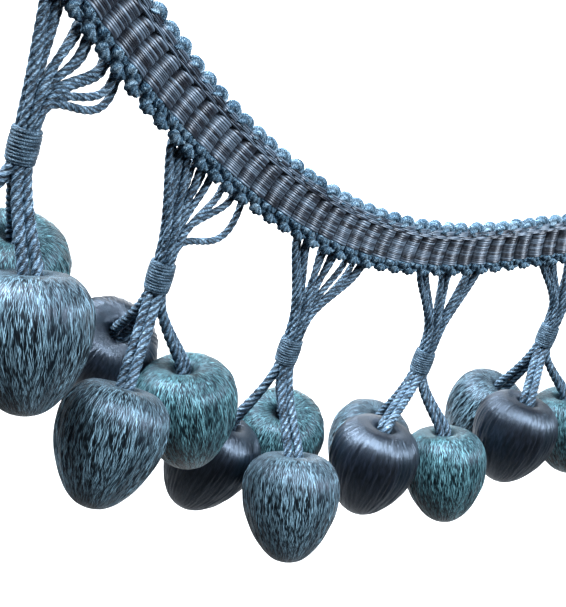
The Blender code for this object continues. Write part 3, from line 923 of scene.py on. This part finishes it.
def lower_routes(name):
    """Three pairs of thicker cords, each a cubic curve from the binding into a ball's hole, crossing as they go.

    The two cords of a pair lie opposite each other about the curve, and turn about it by a share of a turn.
    """
    ball_height = bpy.context.scene.trim_ball.height
    bottom = binding_middle(name) - UP * (BINDING_LENGTH / 2)
    share = np.linspace(0, 1, ROUTE_POINTS)[:, None]
    half = PAIR_START_HALF * (1 - share) + PAIR_HALF * share
    routes = []
    for _, _, along, back, down, slant_share in (row for row in BALLS if row[0] == name):
        centre, axis = ball_pose(name, along, back, down, slant_share)
        axis = np.array(axis)
        mouth = centre + axis * (ball_height / 2 - CORD_BEND_DEPTH)
        outward = np.array([along, back, 0.0]) / math.hypot(along, back)
        aside = np.array([-outward[1], outward[0], 0.0])
        start = bottom + outward * PAIR_START + UP * PAIR_START_DEPTH
        start_pull = start - UP * (np.linalg.norm(mouth - start) * LOWER_PULL)
        line = bezier(start, start_pull, mouth + axis * ENTRY_PULL, mouth)
        normal, binormal = (frames[0] for frames in path_frames(line[None]))
        base = math.atan2(aside @ binormal[0], aside @ normal[0])
        for side in (0.0, 0.5):
            angle = base + TURN * (side + share * PAIR_TURNS)
            route = line + (normal * np.cos(angle) + binormal * np.sin(angle)) * half
            end = route[-1] - axis * (CORD_END_DEPTH - CORD_BEND_DEPTH)
            routes.append(np.concatenate([route, end[None]]))
    return routes


def build_cords():
    """Each cluster's cords in one piece: four plies each, in the fan above the binding and the pairs below."""
    settings = bpy.context.scene.trim_cord
    yarn = spun_yarn("mercerised_cord", settings.cord_dark, settings.cord_light)
    for cluster in CLUSTERS:
        name = f"cords_{cluster}_plied"
        upper = upper_routes(cluster)
        paths = smooth_paths(upper + lower_routes(cluster), CORD_POINTS)
        starts = np.random.default_rng(ord(cluster)).uniform(0, TURN, len(paths))
        thickness = np.ones((len(paths), 1))
        thickness[len(upper) :] = LOWER_CORD_RADIUS / settings.radius
        mesh = twisted_cord(name, paths, settings.radius, CORD_PLIES, settings.lay, CORD_AROUND, starts, thickness)
        add_piece(name, mesh, yarn, "cord_yarn", f"cords_{cluster}")


# The binding's sleeve, in mm; its fibres are measured round it at a radius a little wider than its own.
SLEEVE_RADIUS = 2.25
SLEEVE_THICKNESS = 0.18
THREAD_RISE = 0.26
WAIST = 0.06
SLEEVE_WAVE = 0.05
SLEEVE_AROUND = 40
ROWS_PER_TURN = 8
END_SHARPNESS = 14
FIBRE_RADIUS = 3.2
BINDING_SEED = 40
UNEVEN_TURNS = (
    # turns, waves_down, waves_round
    (0.10, 3, 1),
    (0.07, 7, 0),
)


def build_bindings():
    """The wound thread: a sleeve whose radius rises by half a circle over each turn of a helix.

    The phase of the helix is the turns down the sleeve plus the share of a turn round it. The sleeve closes in at both
    ends, and its turns are a little uneven.
    """
    settings = bpy.context.scene.trim_cord
    yarn = spun_yarn("binding_thread_wound", settings.thread_dark, settings.thread_light)
    down = np.linspace(-0.5, 0.5, settings.turns * ROWS_PER_TURN + 1)[:, None]
    turn = np.arange(SLEEVE_AROUND + 1) / SLEEVE_AROUND
    taper = np.sqrt(np.clip(1 - (abs(down) * 2) ** END_SHARPNESS, 0, 1))
    waist = WAIST * np.cos(TURN * down)
    for cluster in CLUSTERS:
        name = f"binding_{cluster}_wound"
        *phases, wave_phase = np.random.default_rng(ord(cluster) + BINDING_SEED).uniform(0, TURN, 3)
        uneven = sum(
            size * np.sin(TURN * (waves_down * down + waves_round * turn) + phase)
            for (size, waves_down, waves_round), phase in zip(UNEVEN_TURNS, phases)
        )
        wound = down * settings.turns + turn + uneven
        ridge = np.sqrt(np.clip(1 - (2 * (wound % 1) - 1) ** 2, 0, 1))
        radius = SLEEVE_RADIUS + (SLEEVE_THICKNESS + waist + THREAD_RISE * ridge) * taper
        radius = radius + SLEEVE_WAVE * np.sin(TURN * 2 * turn + wave_phase)
        points = stack(np.cos(TURN * turn) * radius, np.sin(TURN * turn) * radius, -down * BINDING_LENGTH)
        points = (points + binding_middle(cluster))[:, :-1]
        uv = stack(wound, turn * TURN * FIBRE_RADIUS)
        # The ridge is the crown, by which the yarn's painted shade darkens the grooves between the turns.
        mesh = grid_mesh(name, points[None], uv[None], {"crown": ridge[:, :-1]})
        add_piece(name, mesh, yarn, "binding_thread", f"binding_{cluster}")


# The balls' hanks: how many waves of thread go round, how high each is as a share of the radius, and its slant.
HANK_WAVES = (5, 9, 13, 19, 27, 36, 43, 49, 54, 60, 66)
HANK_HEIGHT = 0.006
HANK_SLANT = (-0.09, 0.11)
BALL_ROWS = 52
BALL_AROUND = 220
BALL_SEED = 60
OUTLINE_WIDTH = 0.9
FOOT_RADIUS = 0.004


def ball_points(seed):
    """A ball in mm about its middle: the outline turned about its axis, with shallow hanks of thread.

    The radius is multiplied by 1 plus a sum of cosines of whole numbers of turns, each with its own seeded phase and
    slant, which fades at the poles.
    """
    settings = bpy.context.scene.trim_ball
    radius, depth = np.array(BALL_PROFILE, float).T
    length = np.concatenate([[0], np.cumsum(np.hypot(np.diff(radius * OUTLINE_WIDTH), np.diff(depth)))])
    at = np.linspace(0, length[-1], BALL_ROWS)
    wide = np.maximum(read_table(length, radius, at), 0.0)[:, None]
    wide[-1] = FOOT_RADIUS
    high = settings.height * (0.5 - read_table(length, depth, at))[:, None]
    down = np.linspace(0, 1, BALL_ROWS)[:, None]
    turn = np.arange(BALL_AROUND + 1) / BALL_AROUND
    random = np.random.default_rng(seed)
    ripple = np.zeros((BALL_ROWS, BALL_AROUND + 1))
    for waves in HANK_WAVES:
        size = random.uniform(0.5, 1.0) * HANK_HEIGHT
        slant = random.uniform(*HANK_SLANT) * waves
        ripple += size * np.cos(TURN * (waves * turn + slant * down + random.uniform(0, 1)))
    fade = np.sin(np.pi * down) ** 0.5
    wide = wide * settings.radius * (1 + ripple * fade)
    points = stack(np.cos(TURN * turn) * wide, np.sin(TURN * turn) * wide, high)
    return points[:, :-1], stack(turn, down)


def build_balls():
    """The thread-covered balls, each at the end of its pair of cords."""
    settings = bpy.context.scene.trim_ball
    covers = {colour: silk_cover(colour, getattr(settings, colour)) for colour in SILKS}
    for number, (cluster, colour, *hang) in enumerate(BALLS):
        name = f"ball_{colour}_{cluster}"
        points, uv = ball_points(BALL_SEED + number)
        centre, axis = ball_pose(cluster, *hang)
        turn = np.array(Vector(UP).rotation_difference(axis).to_matrix())
        mesh = grid_mesh(f"{name}_covered", (points @ turn.T + centre)[None], uv[None])
        add_piece(f"{name}_covered", mesh, covers[colour], f"ball_{colour}", name)


# ---------------- stage


CAMERA_PLACE = (-0.1566, -0.1663, 0.0406)
CAMERA_FORWARD = (0.6438, 0.7086, -0.2888)
CAMERA_RIGHT = (0.7634, -0.5691, 0.3054)
CAMERA_LENS = 62.27

# The paper sweep, in metres away from the camera's foot: level, then a quarter circle, then a wall.
SWEEP_FRONT = -4.0
SWEEP_START = 2.0
SWEEP_RADIUS = 1.2
SWEEP_TOP = 4.0
SWEEP_SIDES = (5.0, -5.0)
SWEEP_STEPS = 13

LIGHTS = (
    # name, place_m, toward_m, size_m, spread_deg
    ("key", (-0.48, -0.26, 1.00), (0.06, 0.0, -0.05), 0.50, 50.0),
    ("front", (0.45, -0.81, 0.63), (-0.08, 0.0, 0.0), 0.35, 44.0),
    ("side", (-0.62, 0.62, 0.72), (0.12, 0.0, -0.05), 0.45, 34.0),
    ("backdrop", (1.08, 1.18, 0.90), (1.61, 1.78, 0.30), 1.2, 180.0),
)


def softbox(name, place, toward, size, power, spread_deg):
    """A soft square light at this place that faces this point, with a grid that holds its beam together."""
    data = bpy.data.lights.new(name, "AREA")
    data.shape = "SQUARE"
    data.size = size
    data.energy = power
    data.spread = math.radians(spread_deg)
    data.color = (0.95, 0.98, 1.0)
    lamp = bpy.data.objects.new(name, data)
    lamp.location = place
    lamp.rotation_euler = (Vector(toward) - Vector(place)).to_track_quat("-Z", "Y").to_euler()
    bpy.context.scene.collection.objects.link(lamp)


def build_floor():
    """A plain floor that rises behind the trim in a quarter circle, as a sheet of paper hung in a studio."""
    settings = bpy.context.scene.trim_stage
    low = CAD_BOX[0][2] - settings.floor_drop
    away = Vector((CAMERA_FORWARD[0], CAMERA_FORWARD[1], 0.0)).normalized()
    aside = Vector((-away.y, away.x, 0.0))
    angle = np.linspace(0, math.pi / 2, SWEEP_STEPS)
    reach = np.concatenate([[SWEEP_FRONT], SWEEP_START + SWEEP_RADIUS * np.sin(angle), [SWEEP_START + SWEEP_RADIUS]])
    rise = np.concatenate([[0.0], SWEEP_RADIUS * (1 - np.cos(angle)), [SWEEP_TOP]])
    points = [
        away * r + aside * side + Vector((0.0, 0.0, low + z)) for r, z in zip(reach, rise) for side in SWEEP_SIDES
    ]
    faces = [(2 * k, 2 * k + 1, 2 * k + 3, 2 * k + 2) for k in range(len(reach) - 1)]
    mesh = bpy.data.meshes.new("floor")
    mesh.from_pydata(points, [], faces)
    mesh.shade_smooth()
    floor = bpy.data.objects.new("floor", mesh)
    bpy.context.scene.collection.objects.link(floor)
    paper, tree, shader = new_material("matt_white_paper")
    # Matt paper with a faint grain of 2.5 mm, which keeps the sheet from looking like plastic.
    place = add_node(tree, "ShaderNodeTexCoord")
    grain = add_node(tree, "ShaderNodeTexNoise", {"Vector": (place, "Object"), "Scale": 400.0, "Detail": 2.0})
    own = {"Roughness": 0.9, "Specular IOR Level": 0.1}
    finish_shader(tree, shader, (*linear("#bcbcbc"), 1.0), (grain, "Fac"), 0.05, 0.0002, own)
    mesh.materials.append(paper)


def build_stage():
    """A plain white sweep, soft lights from above, the front right and behind on the left, and the camera."""
    settings = bpy.context.scene.trim_stage
    scene = bpy.context.scene
    build_floor()
    world = bpy.data.worlds.new("studio")
    world.use_nodes = True
    background = world.node_tree.nodes["Background"]
    feed(world.node_tree, background, {"Color": (1.0, 1.0, 1.0, 1.0), "Strength": settings.surround})
    scene.world = world
    for name, place, toward, size, spread_deg in LIGHTS:
        softbox(name, place, toward, size, getattr(settings, name), spread_deg)
    data = bpy.data.cameras.new("camera")
    data.lens = CAMERA_LENS
    data.sensor_width = 36.0
    data.clip_start = 0.01
    data.clip_end = 50.0
    camera = bpy.data.objects.new("camera", data)
    forward = Vector(CAMERA_FORWARD).normalized()
    right = Vector(CAMERA_RIGHT)
    right = (right - forward * right.dot(forward)).normalized()
    up = right.cross(forward)
    turn = Matrix((right, up, -forward)).transposed()
    camera.matrix_world = Matrix.Translation(Vector(CAMERA_PLACE)) @ turn.to_4x4()
    scene.collection.objects.link(camera)
    scene.camera = camera
    scene.view_settings.view_transform = "Standard"


# ---------------- operators


class TRIM_OT_heading(bpy.types.Operator):
    """Weaves the ribbed heading and its looped edges"""

    bl_idname = "trim.heading"
    bl_label = "Heading"

    def execute(self, context):
        band = build_band()
        build_loops()
        return {"FINISHED"}


class TRIM_OT_cords(bpy.types.Operator):
    """Lays the twisted cords of every cluster"""

    bl_idname = "trim.cords"
    bl_label = "Cords"

    def execute(self, context):
        build_cords()
        return {"FINISHED"}


class TRIM_OT_bindings(bpy.types.Operator):
    """Winds the thread that holds each cluster"""

    bl_idname = "trim.bindings"
    bl_label = "Bindings"

    def execute(self, context):
        build_bindings()
        return {"FINISHED"}


class TRIM_OT_balls(bpy.types.Operator):
    """Hangs the silk-covered balls"""

    bl_idname = "trim.balls"
    bl_label = "Balls"

    def execute(self, context):
        build_balls()
        return {"FINISHED"}


class TRIM_OT_stage(bpy.types.Operator):
    """Sets the floor, the lights and the camera"""

    bl_idname = "trim.stage"
    bl_label = "Stage"

    def execute(self, context):
        build_stage()
        return {"FINISHED"}


OPERATORS = (TRIM_OT_stage, TRIM_OT_heading, TRIM_OT_cords, TRIM_OT_bindings, TRIM_OT_balls)


class TRIM_PT_panel(bpy.types.Panel):
    """The trim's pieces and their settings"""

    bl_idname = "TRIM_PT_panel"
    bl_label = "Ball Fringe Trim"
    bl_space_type = "VIEW_3D"
    bl_region_type = "UI"
    bl_category = "Trim"

    def draw(self, context):
        for name, _ in SETTINGS:
            group = getattr(context.scene, name)
            for key in group.__annotations__:
                self.layout.prop(group, key)
        for operator in OPERATORS:
            self.layout.operator(operator.bl_idname)


SETTINGS = (
    ("trim_heading", TrimHeadingSettings),
    ("trim_cord", TrimCordSettings),
    ("trim_ball", TrimBallSettings),
    ("trim_stage", TrimStageSettings),
)


def register():
    for name, group in SETTINGS:
        bpy.utils.register_class(group)
        setattr(bpy.types.Scene, name, PointerProperty(type=group))
    for operator in OPERATORS:
        bpy.utils.register_class(operator)
    bpy.utils.register_class(TRIM_PT_panel)


def unregister():
    bpy.utils.unregister_class(TRIM_PT_panel)
    for operator in reversed(OPERATORS):
        bpy.utils.unregister_class(operator)
    for name, group in reversed(SETTINGS):
        delattr(bpy.types.Scene, name)
        bpy.utils.unregister_class(group)


def main():
    register()
    bpy.ops.trim.stage()
    bpy.ops.trim.heading()
    bpy.ops.trim.cords()
    bpy.ops.trim.bindings()
    bpy.ops.trim.balls()


if __name__ == "__main__":
    main()
